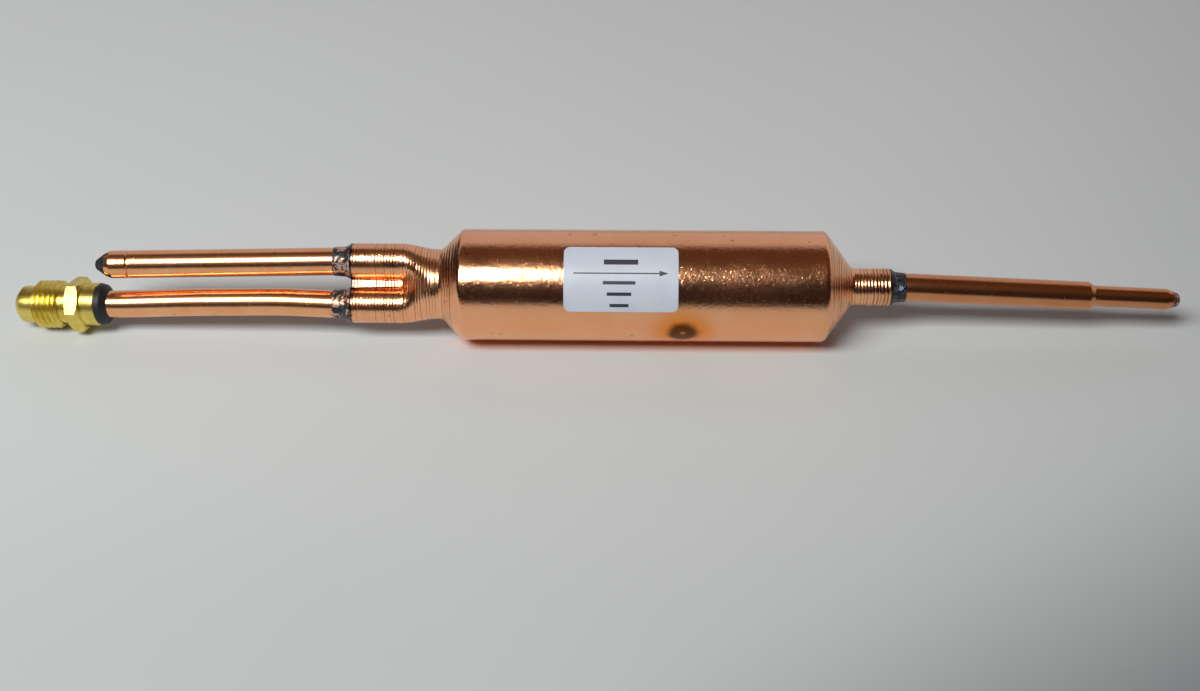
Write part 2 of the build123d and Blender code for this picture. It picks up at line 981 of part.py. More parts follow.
parts = {
    "drier_shell": drier_shell(),
    "process_tube": process_tube(),
    "access_tube": access_tube(),
    "outlet_tube": outlet_tube(),
    "process_socket_braze": process_socket_braze(),
    "access_socket_braze": access_socket_braze(),
    "outlet_socket_braze": outlet_socket_braze(),
    "valve_braze": valve_braze(),
    "process_tip_seal": process_tip_seal(),
    "outlet_tip_seal": outlet_tip_seal(),
    "valve_body": valve_body(),
    "core_plug": core_plug(),
    "core_barrel": core_barrel(),
    "core_gasket": core_gasket(),
    "core_spring": core_spring(),
    "core_pin": core_pin(),
    "core_cup": core_cup(),
    "core_seal": core_seal(),
    "inlet_screen_ring": inlet_screen_ring(),
    "inlet_screen_mesh": inlet_screen_mesh(),
    "outlet_strainer_ring": outlet_strainer_ring(),
    "outlet_strainer_mesh": outlet_strainer_mesh(),
    "desiccant_bed": desiccant_bed(),
    "label": label(),
    "label_print": label_print(),
}


def set_down(shapes):
    """Moves every piece so that the body lies on the ground and the origin is under the middle."""
    boxes = [shape.bounding_box() for shape in shapes.values()]
    left = min(box.min.X for box in boxes)
    right = max(box.max.X for box in boxes)
    shift = Location((-(left + right) / 2, 0, body_radius))
    return {name: shift * shape for name, shape in shapes.items()}


os.makedirs("parts", exist_ok=True)
for name, shape in set_down(parts).items():
    export_step(shape, f"parts/{name}.step")
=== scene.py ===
import json
import math

import bpy
import numpy as np
from mathutils import Matrix, Vector


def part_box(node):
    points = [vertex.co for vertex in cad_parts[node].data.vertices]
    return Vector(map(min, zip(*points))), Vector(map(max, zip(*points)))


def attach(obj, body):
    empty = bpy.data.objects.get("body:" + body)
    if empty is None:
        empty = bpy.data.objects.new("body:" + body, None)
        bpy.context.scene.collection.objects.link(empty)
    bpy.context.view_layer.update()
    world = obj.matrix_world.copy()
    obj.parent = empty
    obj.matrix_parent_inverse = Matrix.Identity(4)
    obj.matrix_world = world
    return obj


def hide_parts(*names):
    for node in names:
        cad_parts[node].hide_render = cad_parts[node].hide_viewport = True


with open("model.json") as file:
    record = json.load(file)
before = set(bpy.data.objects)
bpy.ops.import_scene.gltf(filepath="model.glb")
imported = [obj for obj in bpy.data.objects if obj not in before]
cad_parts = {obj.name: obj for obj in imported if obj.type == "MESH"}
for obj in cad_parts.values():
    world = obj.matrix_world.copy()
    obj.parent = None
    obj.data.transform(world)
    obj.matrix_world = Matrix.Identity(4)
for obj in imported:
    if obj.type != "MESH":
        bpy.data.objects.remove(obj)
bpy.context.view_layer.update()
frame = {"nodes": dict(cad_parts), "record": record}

# Filter drier: spun copper shell, drawn copper tubes, brazed joints, brass access valve and label.
# Sizes are in millimetres and angles in degrees unless a note says otherwise. Meshes are in metres.
# A station is a distance along X, which is the body's axis, or along the valve from its flare's front.

parts = frame["nodes"]
mounts = {mount["name"]: mount for mount in frame["record"]["mounts"]}
mm = 0.001
axisHeight = mounts["body_seat"]["pos_m"][2] / mm
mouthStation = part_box("drier_shell")[0].x / mm      # the face of the two sockets
pairLean = 36.0                                     # of the two inlet tubes' plane, from the vertical
print("frame loaded,", len(parts), "CAD nodes")


# Small helpers for node trees

def put(tree, kind, wires=None, **settings):
    # one shader node; each input takes a plain value or another node's output
    made = tree.nodes.new("ShaderNode" + kind)
    for name, value in settings.items():
        setattr(made, name, value)
    for key, value in (wires or {}).items():
        if isinstance(value, bpy.types.NodeSocket):
            tree.links.new(value, made.inputs[key])
        else:
            made.inputs[key].default_value = value
    return made


def calc(tree, operation, *values, clamp=False):
    return put(tree, "Math", dict(enumerate(values)), operation=operation, use_clamp=clamp).outputs[0]


def vectorCalc(tree, operation, *values):
    # a length or a dot product comes out of the second output
    output = 1 if operation in ("LENGTH", "DOT_PRODUCT") else 0
    return put(tree, "VectorMath", dict(enumerate(values)), operation=operation).outputs[output]


def scaled(value, amount):
    # value is a node's output, and amount is another one or a number
    return calc(value.node.id_data, "MULTIPLY", value, amount)


def centred(value):
    # from 0..1 to -0.5..0.5
    return calc(value.node.id_data, "SUBTRACT", value, 0.5)


def turnedOver(value):
    # from 0..1 to 1..0
    return calc(value.node.id_data, "SUBTRACT", 1.0, value)


def remap(tree, value, low, high, newLow=0.0, newHigh=1.0, kind="SMOOTHSTEP"):
    # a smooth step between low and high, or a straight slope where kind is LINEAR
    wires = {0: value, 1: low, 2: high, 3: newLow, 4: newHigh}
    return put(tree, "MapRange", wires, interpolation_type=kind).outputs[0]


def mixColours(tree, factor, first, second):
    return put(tree, "Mix", {0: factor, 6: first, 7: second}, data_type="RGBA").outputs[2]


def mixValues(tree, factor, first, second):
    return put(tree, "Mix", {0: factor, 2: first, 3: second}, data_type="FLOAT").outputs[0]


def coordinate(tree, place, axis):
    return put(tree, "SeparateXYZ", {0: place}).outputs[axis]


def channel(tree, colour, index):
    return put(tree, "SeparateColor", {0: colour}).outputs[index]


def noise(tree, place, scale, detail=2.0, roughness=0.5, distortion=0.0):
    wires = {"Vector": place, "Scale": scale, "Detail": detail, "Roughness": roughness}
    return put(tree, "TexNoise", {**wires, "Distortion": distortion}).outputs[0]


def coated(tree, colour, masks, coats):
    # lays each coat, a colour and its strength, over the colour below where the mask of its name is
    for name, (coat, strength) in coats.items():
        if name in masks:
            colour = mixColours(tree, scaled(masks[name], strength), colour, coat)
    return colour


def blended(tree, value, masks, amounts):
    # adds each amount times the mask of its name
    for name, amount in amounts.items():
        if name in masks:
            value = calc(tree, "ADD", value, scaled(masks[name], amount))
    return value


def newGroup(name, inputs, outputs):
    # an empty shader group: inputs are (name, value), or a name alone for a vector; outputs are masks
    tree = bpy.data.node_groups.new(name, "ShaderNodeTree")
    for entry in inputs:
        label, value = (entry, None) if isinstance(entry, str) else entry
        kind = "NodeSocketVector" if value is None else "NodeSocketFloat"
        socket = tree.interface.new_socket(label, in_out="INPUT", socket_type=kind)
        if value is not None:
            socket.default_value = value
    for label in outputs:
        tree.interface.new_socket(label, in_out="OUTPUT", socket_type="NodeSocketFloat")
    return tree, tree.nodes.new("NodeGroupInput").outputs, tree.nodes.new("NodeGroupOutput")


def finishGroup(tree, end, **results):
    for label, value in results.items():
        tree.links.new(value, end.inputs[label])
    return tree


def use(tree, group, **wires):
    return put(tree, "Group", wires, node_tree=group).outputs


# Shared effects. Each reads Place, in millimetres, and gives masks; a dictionary holds its fixed values

ringShape = {
    "sway": 0.7, "swayScale": 0.16,          # how far the rings wander along the axis
    "ridge": 0.3, "uneven": 1.1,             # the even wave and the uneven one that it rides on
    "detail": 2.0, "roughness": 0.65,
    "patch": {"scale": 0.5, "detail": 3.0}, "patchEdge": (0.35, 0.6),
}


def makeSpinRings():
    # Ring = (ridge times the sine of the station over Pitch, plus uneven times a noise of the same number),
    # so it rings the axis; Break is how much of it a slow noise in space takes away
    s = ringShape
    tree, start, end = newGroup("spinRings", ["Place", ("Pitch", 0.4), ("Break", 0.3)], ["Ring"])
    sway = scaled(centred(noise(tree, start["Place"], s["swayScale"])), s["sway"])
    station = calc(tree, "ADD", coordinate(tree, start["Place"], 0), sway)
    along = calc(tree, "DIVIDE", station, start["Pitch"])
    wires = {"W": along, "Scale": 1.0, "Detail": s["detail"], "Roughness": s["roughness"]}
    rough = put(tree, "TexNoise", wires, noise_dimensions="1D").outputs[0]
    ridge = scaled(calc(tree, "SINE", scaled(along, 2 * math.pi)), s["ridge"])
    wave = calc(tree, "ADD", ridge, scaled(centred(rough), s["uneven"]))
    patch = remap(tree, noise(tree, start["Place"], **s["patch"]), *s["patchEdge"])
    kept = turnedOver(scaled(patch, start["Break"]))
    return finishGroup(tree, end, Ring=scaled(wave, kept))


def makeDrawLines():
    # Line = noise drawn out along X, as a drawing die leaves it
    tree, start, end = newGroup("drawLines", ["Place", ("Across", 3.0), ("Along", 0.03)], ["Line"])
    scale = put(tree, "CombineXYZ", {0: start["Along"], 1: start["Across"], 2: start["Across"]}).outputs[0]
    lines = noise(tree, vectorCalc(tree, "MULTIPLY", start["Place"], scale), 1.0, detail=3.0, roughness=0.6)
    return finishGroup(tree, end, Line=centred(lines))


def makeHandlingMarks():
    # Mark = one straight nick in a Share of the Voronoi cells: the cut of a plane through the cell's centre,
    # its normal taken from the cell's own colour, thinning out at Length from the centre
    inputs = ["Place", ("Cells", 0.5), ("Length", 1.0), ("Width", 0.04), ("Share", 0.5)]
    tree, start, end = newGroup("handlingMarks", inputs, ["Mark"])
    cell = put(tree, "TexVoronoi", {"Vector": start["Place"], "Scale": start["Cells"]}).outputs
    colour = vectorCalc(tree, "SUBTRACT", cell["Color"], (0.5, 0.5, 0.5))
    local = vectorCalc(tree, "SUBTRACT", start["Place"], cell["Position"])
    normal = vectorCalc(tree, "NORMALIZE", colour)
    away = calc(tree, "ABSOLUTE", vectorCalc(tree, "DOT_PRODUCT", local, normal))
    reach = vectorCalc(tree, "LENGTH", local)
    line = calc(tree, "SUBTRACT", 1.0, calc(tree, "DIVIDE", away, start["Width"]), clamp=True)
    near = calc(tree, "SUBTRACT", 1.0, calc(tree, "DIVIDE", reach, start["Length"]), clamp=True)
    kept = calc(tree, "LESS_THAN", channel(tree, cell["Color"], 0), start["Share"])
    return finishGroup(tree, end, Mark=scaled(scaled(line, calc(tree, "POWER", near, 0.5)), kept))


tarnishShape = {
    "cloud": {"detail": 5.0, "roughness": 0.6, "distortion": 0.4}, "cloudEdge": (0.36, 0.66),
    "dotCells": 0.45,                        # cells in a millimetre
    "dotRarity": 3.0,                        # the higher, the fewer large dots
}


def makeTarnish():
    # Clouds = slow noise of the given Size; Dots = a round dot in each cell, Flecks times a power of chance
    # in radius, so that most are too small to see
    s = tarnishShape
    tree, start, end = newGroup("tarnish", ["Place", ("Size", 6.0), ("Flecks", 0.3)], ["Clouds", "Dots"])
    slow = noise(tree, start["Place"], calc(tree, "DIVIDE", 1.0, start["Size"]), **s["cloud"])
    cell = put(tree, "TexVoronoi", {"Vector": start["Place"], "Scale": s["dotCells"]}).outputs
    chance = calc(tree, "POWER", channel(tree, cell["Color"], 1), s["dotRarity"])
    share = calc(tree, "DIVIDE", cell["Distance"], scaled(chance, start["Flecks"]))
    dots = calc(tree, "SUBTRACT", 1.0, share, clamp=True)
    return finishGroup(tree, end, Clouds=remap(tree, slow, *s["cloudEdge"]), Dots=dots)


spillShape = {"wave": {"scale": 0.55, "detail": 3.0, "roughness": 0.6}, "edge": (-0.12, 0.22)}


def makeSpill():
    # Spill = 1 near a Station and 0 past Reach from it, with an edge that a noise makes Uneven
    s = spillShape
    inputs = ["Place", ("Station", 0.0), ("Reach", 3.0), ("Uneven", 2.0)]
    tree, start, end = newGroup("spill", inputs, ["Spill"])
    station = coordinate(tree, start["Place"], 0)
    distance = calc(tree, "ABSOLUTE", calc(tree, "SUBTRACT", station, start["Station"]))
    wave = scaled(centred(noise(tree, start["Place"], **s["wave"])), start["Uneven"])
    inside = calc(tree, "SUBTRACT", start["Reach"], calc(tree, "ADD", distance, wave))
    return finishGroup(tree, end, Spill=remap(tree, inside, *s["edge"]))


heatShape = {
    "wave": {"scale": 0.45, "detail": 3.0}, "waveDepth": 1.2,
    "eye": (0.06, 0.26), "burn": (0.62, 1.25), "halo": (1.0, 2.5),      # in shares of Radius
}


def makeHeatSpot():
    # steps of the distance from Centre, made uneven by a noise: Eye, Burn and Halo, each wider than the last
    s = heatShape
    tree, start, end = newGroup("heatSpot", ["Place", "Centre", ("Radius", 2.5)], ["Eye", "Burn", "Halo"])
    reach = vectorCalc(tree, "LENGTH", vectorCalc(tree, "SUBTRACT", start["Place"], start["Centre"]))
    wave = scaled(centred(noise(tree, start["Place"], **s["wave"])), s["waveDepth"])
    share = calc(tree, "DIVIDE", calc(tree, "ADD", reach, wave), start["Radius"])
    steps = {name: remap(tree, share, *s[name.lower()], 1.0, 0.0) for name in ("Eye", "Burn", "Halo")}
    return finishGroup(tree, end, **steps)


mottleShape = {
    "detail": 3.0, "roughness": 0.6,
    "firstTwist": 0.6, "firstEdge": (0.53, 0.58),
    "secondTwist": 0.9, "secondEdge": (0.57, 0.62),
    "apart": (7.3, 2.9, 11.7),               # the second noise is read this far from the first
}


def makeMottle():
    # First and Second = two uneven masks for flux and bare metal lying side by side; Lumps = the first one's
    # noise, centred, as a height
    s = mottleShape
    tree, start, end = newGroup("mottle", ["Place", ("Size", 1.0)], ["First", "Second", "Lumps"])
    scale = calc(tree, "DIVIDE", 1.0, start["Size"])
    apart = vectorCalc(tree, "ADD", start["Place"], s["apart"])
    lumps = noise(tree, start["Place"], scale, s["detail"], s["roughness"], s["firstTwist"])
    other = noise(tree, apart, scale, s["detail"], s["roughness"], s["secondTwist"])
    first, second = remap(tree, lumps, *s["firstEdge"]), remap(tree, other, *s["secondEdge"])
    return finishGroup(tree, end, First=first, Second=second, Lumps=centred(lumps))


creaseShape = {
    "end": -44.5, "endFade": (-44.6, -44.0),     # stations
    "mouthHalf": 1.05, "endHalf": 0.7,           # half the strip's width at the mouth and at its end
    "waveScale": 0.8, "waveDepth": 0.2,
    "lineEdge": (0.03, 0.2), "lobeEdge": (2.6, 3.4), "flankEdge": (0.1, 0.4),
}


def makeStripCrease():
    # Line = 1 along both edges of the pinch's raised strip, from the distance off the strip's middle plane: a
    # mask for painted shade in the creases;
    # the flank mask = 1 beside the strip, out to the lobes: a mask for a painted orange reflection of the
    # light between the lobes
    s = creaseShape
    lean = math.radians(pairLean)
    tree, start, end = newGroup("stripCrease", ["Place"], ["Line", "Flank"])
    station = coordinate(tree, start["Place"], 0)
    fromAxis = vectorCalc(tree, "SUBTRACT", start["Place"], (0, 0, axisHeight))
    across = vectorCalc(tree, "DOT_PRODUCT", fromAxis, (0, math.sin(lean), math.cos(lean)))
    wave = scaled(centred(noise(tree, start["Place"], s["waveScale"])), s["waveDepth"])
    middle = calc(tree, "ABSOLUTE", calc(tree, "ADD", across, wave))
    half = remap(tree, station, mouthStation, s["end"], s["mouthHalf"], s["endHalf"], kind="LINEAR")
    past = calc(tree, "SUBTRACT", middle, half)
    along = remap(tree, station, *s["endFade"], 1.0, 0.0)
    line = remap(tree, calc(tree, "ABSOLUTE", past), *s["lineEdge"], 1.0, 0.0)
    paintedFlankReflection = scaled(remap(tree, middle, *s["lobeEdge"], 1.0, 0.0), remap(tree, past, *s["flankEdge"]))
    return finishGroup(tree, end, Line=scaled(line, along), Flank=scaled(paintedFlankReflection, along))


spinRings = makeSpinRings()
drawLines = makeDrawLines()
handlingMarks = makeHandlingMarks()
tarnish = makeTarnish()
spill = makeSpill()
heatSpot = makeHeatSpot()
mottle = makeMottle()
stripCrease = makeStripCrease()
print("shared effects built")


# Materials. In each finish, coats are (colour, strength) laid over the metal in order, relief is in
# millimetres and wear adds to the roughness, all by the names of the masks that carry them

def newMaterial(name, origin=(0, 0, 0), turn=Matrix.Identity(3)):
    # the material, its tree and shader, and the place in millimetres on the piece's own centre and axes
    material = bpy.data.materials.new(name)
    material.use_nodes = True
    tree = material.node_tree
    tree.nodes.clear()
    shader = put(tree, "BsdfPrincipled")
    put(tree, "OutputMaterial", {0: shader.outputs[0]})
    back = turn.transposed()
    wires = {
        "Vector": put(tree, "TexCoord").outputs["Object"],
        "Location": -(back @ Vector(origin)),
        "Rotation": back.to_euler(),
        "Scale": (1 / mm, 1 / mm, 1 / mm),
    }
    return material, tree, shader, put(tree, "Mapping", wires, vector_type="POINT").outputs[0]


def feed(tree, shader, **wires):
    # an underscore stands for the space in an input's name
    for key, value in wires.items():
        socket = shader.inputs[key.replace("_", " ")]
        if isinstance(value, bpy.types.NodeSocket):
            tree.links.new(value, socket)
        else:
            socket.default_value = value


def bump(tree, height):
    # height in millimetres
    return put(tree, "Bump", {"Strength": 1.0, "Distance": mm, "Height": height}).outputs[0]


shellFinish = {
    "copper": (0.98, 0.49, 0.265, 1),
    "bodyRoughness": 0.155,
    "spunRoughness": 0.19,
    "inletFade": (-31.6, -29.5),             # stations between which the spinning rings end
    "outletFade": (52.4, 53.6),              # and begin again
    "neckFade": (59.8, 60.8),                # where the outlet neck's deeper rings begin
    "neckFoot": (62.8, 64.6), "footShare": 0.25,
    "rings": {"Pitch": 0.7, "Break": 0.3},
    "neckRings": {"Pitch": 0.76, "Break": 0.0},
    "ringHollowShade": (-0.08, -0.34), "neckRingHollowShade": (0.0, -0.28),       # the wave's heights where painted shade darkens the ring hollows
    "lines": {"Across": 1.6, "Along": 0.05},
    "nicks": {"Cells": 0.9, "Length": 0.5, "Width": 0.03, "Share": 0.25},
    "hairs": {"Cells": 1.5, "Length": 0.28, "Width": 0.07, "Share": 0.9},
    "tarnish": {"Size": 9.0, "Flecks": 0.35},
    "spot": {"Centre": (20.4, -11.96, 8.2), "Radius": 3.7},
    "flux": {"Reach": 0.7, "Uneven": 1.6},
    "grain": {"scale": 1.15, "detail": 3.0, "roughness": 0.65},
    "coats": {
        "clouds": ((0.94, 0.40, 0.17, 1), 0.35),
        # painted shade in the hollows of the spinning rings and of the neck's grooves
        "ringHollowShade": ((0.19, 0.076, 0.038, 1), 0.5),
        "neckRingHollowShade": ((0.19, 0.076, 0.038, 1), 0.8),
        "halo": ((0.95, 0.29, 0.035, 1), 0.85),
        "burn": ((0.15, 0.045, 0.006, 1), 1.0),
        "eye": ((0.5, 0.28, 0.12, 1), 0.8),
        "dots": ((0.2, 0.08, 0.04, 1), 0.7),
        "flux": ((0.04, 0.04, 0.045, 1), 0.9),
        # painted shade along the edges of the pinch's raised strip
        "paintedStripShading": ((0.05, 0.02, 0.012, 1), 0.9),
        # painted reflection: an orange tint for the light that the lobes throw on each other across the
        # strip's flanks
        "paintedFlankReflection": ((0.95, 0.29, 0.035, 1), 0.1),
    },
    "relief": {
        "rings": 0.07, "neckRings": 0.2, "nicks": -0.004, "hairs": -0.010, "lines": 0.002, "grain": 0.045,
    },
    "wear": {"nicks": 0.2, "grain": 0.12, "burn": 0.2, "clouds": 0.05},
}


def shellCopper():
    look = shellFinish
    material, tree, shader, place = newMaterial("spunCopper")
    station = coordinate(tree, place, 0)
    inlet = remap(tree, station, *look["inletFade"], 1.0, 0.0)
    spun = calc(tree, "MAXIMUM", inlet, remap(tree, station, *look["outletFade"]))
    foot = remap(tree, station, *look["neckFoot"], look["footShare"], 1.0)
    neck = scaled(remap(tree, station, *look["neckFade"]), foot)
    rings = use(tree, spinRings, Place=place, **look["rings"])["Ring"]
    neckRings = use(tree, spinRings, Place=place, **look["neckRings"])["Ring"]
    cloud = use(tree, tarnish, Place=place, **look["tarnish"])
    spot = use(tree, heatSpot, Place=place, **look["spot"])
    paintedStripShading = use(tree, stripCrease, Place=place)
    masks = {
        "rings": scaled(rings, spun),
        # painted shade: the ring hollows, darker in colour
        "ringHollowShade": scaled(remap(tree, rings, *look["ringHollowShade"]), spun),
        "neckRings": scaled(neckRings, neck),
        "neckRingHollowShade": scaled(remap(tree, neckRings, *look["neckRingHollowShade"]), neck),
        "lines": use(tree, drawLines, Place=place, **look["lines"])["Line"],
        "nicks": use(tree, handlingMarks, Place=place, **look["nicks"])["Mark"],
        "hairs": use(tree, handlingMarks, Place=place, **look["hairs"])["Mark"],
        "flux": use(tree, spill, Place=place, Station=mouthStation, **look["flux"])["Spill"],
        "clouds": cloud["Clouds"], "dots": cloud["Dots"],
        "eye": spot["Eye"], "burn": spot["Burn"], "halo": spot["Halo"],
        # painted shade in the strip's creases and painted reflection on its flanks
        "paintedStripShading": paintedStripShading["Line"], "paintedFlankReflection": paintedStripShading["Flank"],
        "grain": centred(noise(tree, place, **look["grain"])),
    }
    smooth = mixValues(tree, spun, look["bodyRoughness"], look["spunRoughness"])
    feed(tree, shader, Metallic=1.0,
         Base_Color=coated(tree, look["copper"], masks, look["coats"]),
         Roughness=blended(tree, smooth, masks, look["wear"]),
         Normal=bump(tree, blended(tree, 0.0, masks, look["relief"])))
    return material


tubeFinish = {
    "copper": (0.95, 0.48, 0.25, 1),
    "roughness": 0.22,
    "lines": {"Across": 2.6, "Along": 0.035},
    "nicks": {"Cells": 0.6, "Length": 0.7, "Width": 0.04, "Share": 0.12},
    "hairs": {"Cells": 1.5, "Length": 0.3, "Width": 0.06, "Share": 0.4},
    "tarnish": {"Size": 5.0, "Flecks": 0.3},
    "grain": {"scale": 2.2, "detail": 4.0, "roughness": 0.7},
    "sootUneven": 3.4, "bareSize": 1.6, "bareShare": 0.75,      # bare patches let the copper through the soot
    "sootDullness": 0.6,                                        # how much less metallic soot is
    "coats": {
        "clouds": ((0.88, 0.36, 0.13, 1), 0.5),
        # painted shade: a darker copy of the tube's copper, for a tube on the dim side away from the key
        # light
        "paintedShade": ((0.50, 0.15, 0.05, 1), 1.0),
        "dots": ((0.16, 0.07, 0.04, 1), 0.6),
        "soot": ((0.014, 0.015, 0.019, 1), 1.0),
    },
    "relief": {"lines": 0.012, "nicks": -0.02, "hairs": -0.008, "grain": 0.008},
    "wear": {"nicks": 0.2, "grain": 0.14, "soot": 0.25},
}


def tubeCopper(name, sootReach=0.0, paintedShade=0.0):
    # soot reaches this far along the tube from its socket; the last argument is the share of a painted shade
    # that darkens the whole tube evenly
    look = tubeFinish
    material, tree, shader, place = newMaterial(name)
    cloud = use(tree, tarnish, Place=place, **look["tarnish"])
    masks = {
        "lines": use(tree, drawLines, Place=place, **look["lines"])["Line"],
        "nicks": use(tree, handlingMarks, Place=place, **look["nicks"])["Mark"],
        "hairs": use(tree, handlingMarks, Place=place, **look["hairs"])["Mark"],
        "clouds": cloud["Clouds"], "dots": cloud["Dots"],
        "grain": centred(noise(tree, place, **look["grain"])),
    }
    metal = 1.0
    if paintedShade:
        # painted shade over the whole tube
        masks["paintedShade"] = put(tree, "Value").outputs[0]
        masks["paintedShade"].default_value = paintedShade
    if sootReach:
        reach = {"Station": mouthStation, "Reach": sootReach, "Uneven": look["sootUneven"]}
        bare = use(tree, mottle, Place=place, Size=look["bareSize"])["First"]
        covered = turnedOver(scaled(bare, look["bareShare"]))
        masks["soot"] = scaled(use(tree, spill, Place=place, **reach)["Spill"], covered)
        metal = turnedOver(scaled(masks["soot"], look["sootDullness"]))
    feed(tree, shader, Metallic=metal,
         Base_Color=coated(tree, look["copper"], masks, look["coats"]),
         Roughness=blended(tree, look["roughness"], masks, look["wear"]),
         Normal=bump(tree, blended(tree, 0.0, masks, look["relief"])))
    return material


brazeFinish = {
    "flux": (0.010, 0.012, 0.016, 1),
    "copper": (0.75, 0.38, 0.24, 1),
    "silver": (0.62, 0.56, 0.52, 1),
    "glintColour": (0.24, 0.32, 0.60, 1),
    "glintSpot": {"Centre": (69.75, -3.1, 14.7), "Radius": 0.62},    # a painted glint: a pale blue spot on the outlet braze that stands in for a highlight
    "patchSize": 1.5,
    "grain": {"scale": 1.8, "detail": 4.0, "roughness": 0.7}, "grainEdge": (0.4, 0.65),
    "grainRelief": 0.4, "grainWear": 0.15,
    "fluxMetal": 0.05, "bareMetal": 0.9,
}
# second flux colour, shares of copper and silver that show, roughness, height of the lumps
brazeKinds = {
    "socketBraze": ((0.010, 0.012, 0.016, 1), 0.85, 0.8, 0.28, 0.25),
    "outletBraze": ((0.008, 0.012, 0.02, 1), 0.0, 0.15, 0.10, 0.4),
    "valveBraze": ((0.010, 0.012, 0.016, 1), 0.0, 0.0, 0.42, 0.05),
    "tipBraze": ((0.010, 0.012, 0.016, 1), 0.0, 0.0, 0.42, 0.06),
    "outletTipBraze": ((0.20, 0.075, 0.035, 1), 0.7, 0.5, 0.2, 0.3),
}


def brazeMetal(name, paintedGlint=False):
    # dark fluxed alloy with copper and bright alloy showing through in patches
    look = brazeFinish
    tint, copperShare, silverShare, roughness, lump = brazeKinds[name]
    material, tree, shader, place = newMaterial(name)
    patches = use(tree, mottle, Place=place, Size=look["patchSize"])
    copper, silver = scaled(patches["First"], copperShare), scaled(patches["Second"], silverShare)
    grain = noise(tree, place, **look["grain"])
    colour = mixColours(tree, remap(tree, grain, *look["grainEdge"]), look["flux"], tint)
    colour = mixColours(tree, copper, colour, look["copper"])
    colour = mixColours(tree, silver, colour, look["silver"])
    # painted glint: a pale blue spot in place of a highlight on the outlet braze
    if paintedGlint:
        glintSpot = use(tree, heatSpot, Place=place, **look["glintSpot"])["Burn"]
        colour = mixColours(tree, glintSpot, colour, look["glintColour"])
    bare = scaled(calc(tree, "MAXIMUM", copper, silver), look["bareMetal"])
    fine = scaled(centred(grain), lump * look["grainRelief"])
    height = calc(tree, "ADD", scaled(patches["Lumps"], lump), fine)
    feed(tree, shader, Base_Color=colour, Metallic=calc(tree, "ADD", look["fluxMetal"], bare),
         Roughness=calc(tree, "ADD", roughness, scaled(grain, look["grainWear"])), Normal=bump(tree, height))
    return material


brassFinish = {
    "brass": (0.87, 0.70, 0.18, 1),
    "roughness": 0.30,
    "rings": {"Pitch": 0.16, "Break": 0.3},
    "nicks": {"Cells": 0.7, "Length": 0.8, "Width": 0.05, "Share": 0.4},
    "tarnish": {"Size": 3.0, "Flecks": 0.25},
    "grain": {"scale": 4.0, "detail": 4.0, "roughness": 0.7},
    "coats": {"clouds": ((0.62, 0.46, 0.05, 1), 0.6), "dots": ((0.3, 0.18, 0.03, 1), 0.4)},
    "relief": {"nicks": -0.015, "grain": 0.006},
    "wear": {"grain": 0.15, "nicks": 0.15},
    "toolMarks": 0.02, "coreToolMarks": 0.003,      # height of the turning rings
}


def turnedBrass(name, origin, turn=Matrix.Identity(3), toolMarks=brassFinish["toolMarks"]):
    look = brassFinish
    material, tree, shader, place = newMaterial(name, origin, turn)
    cloud = use(tree, tarnish, Place=place, **look["tarnish"])
    masks = {
        "nicks": use(tree, handlingMarks, Place=place, **look["nicks"])["Mark"],
        "clouds": cloud["Clouds"], "dots": cloud["Dots"],
        "grain": centred(noise(tree, place, **look["grain"])),
    }
    rings = scaled(use(tree, spinRings, Place=place, **look["rings"])["Ring"], toolMarks)
    feed(tree, shader, Metallic=1.0,
         Base_Color=coated(tree, look["brass"], masks, look["coats"]),
         Roughness=blended(tree, look["roughness"], masks, look["wear"]),
         Normal=bump(tree, blended(tree, rings, masks, look["relief"])))
    return material


labelFinish = {
    "paper": (0.55, 0.60, 0.68, 1), "shade": (0.505, 0.555, 0.64, 1), "shadeEdge": (0.4, 0.62),
    "drawnOut": (1.0, 2.0, 2.0),                                # the fibres lie along the body
    "fibre": {"scale": 1.6, "detail": 5.0, "roughness": 0.7}, "fibreShare": 0.4,
    "cloud": {"scale": 0.16, "detail": 3.0}, "cloudShare": 0.6,
    "roughness": (0.34, 0.5), "relief": 0.006,
    "coatWeight": 0.15, "coatRoughness": 0.3,
}


def labelPaper():
    look = labelFinish
    material, tree, shader, place = newMaterial("labelPaper")
    fibre = noise(tree, vectorCalc(tree, "MULTIPLY", place, look["drawnOut"]), **look["fibre"])
    cloud = noise(tree, place, **look["cloud"])
    tone = calc(tree, "ADD", scaled(fibre, look["fibreShare"]), scaled(cloud, look["cloudShare"]))
    colour = mixColours(tree, remap(tree, tone, *look["shadeEdge"]), look["paper"], look["shade"])
    feed(tree, shader, Base_Color=colour, Roughness=mixValues(tree, fibre, *look["roughness"]), Metallic=0.0,
         Normal=bump(tree, scaled(fibre, look["relief"])),
         Coat_Weight=look["coatWeight"], Coat_Roughness=look["coatRoughness"])
    return material


inkFinish = {
    "ink": (0.025, 0.027, 0.05, 1), "worn": (0.12, 0.13, 0.19, 1), "wornEdge": (0.56, 0.74),
    "speck": {"scale": 5.0, "detail": 4.0, "roughness": 0.8},
    "roughness": (0.35, 0.55), "relief": 0.004,
}


def labelInk():
    look = inkFinish
    material, tree, shader, place = newMaterial("labelInk")
    speck = noise(tree, place, **look["speck"])
    colour = mixColours(tree, remap(tree, speck, *look["wornEdge"]), look["ink"], look["worn"])
    feed(tree, shader, Base_Color=colour, Roughness=mixValues(tree, speck, *look["roughness"]), Metallic=0.0,
         Normal=bump(tree, scaled(speck, look["relief"])))
    return material


solidFinish = {"grain": {"scale": 3.0, "detail": 4.0, "roughness": 0.7}, "edge": (0.35, 0.65), "wear": 0.15}
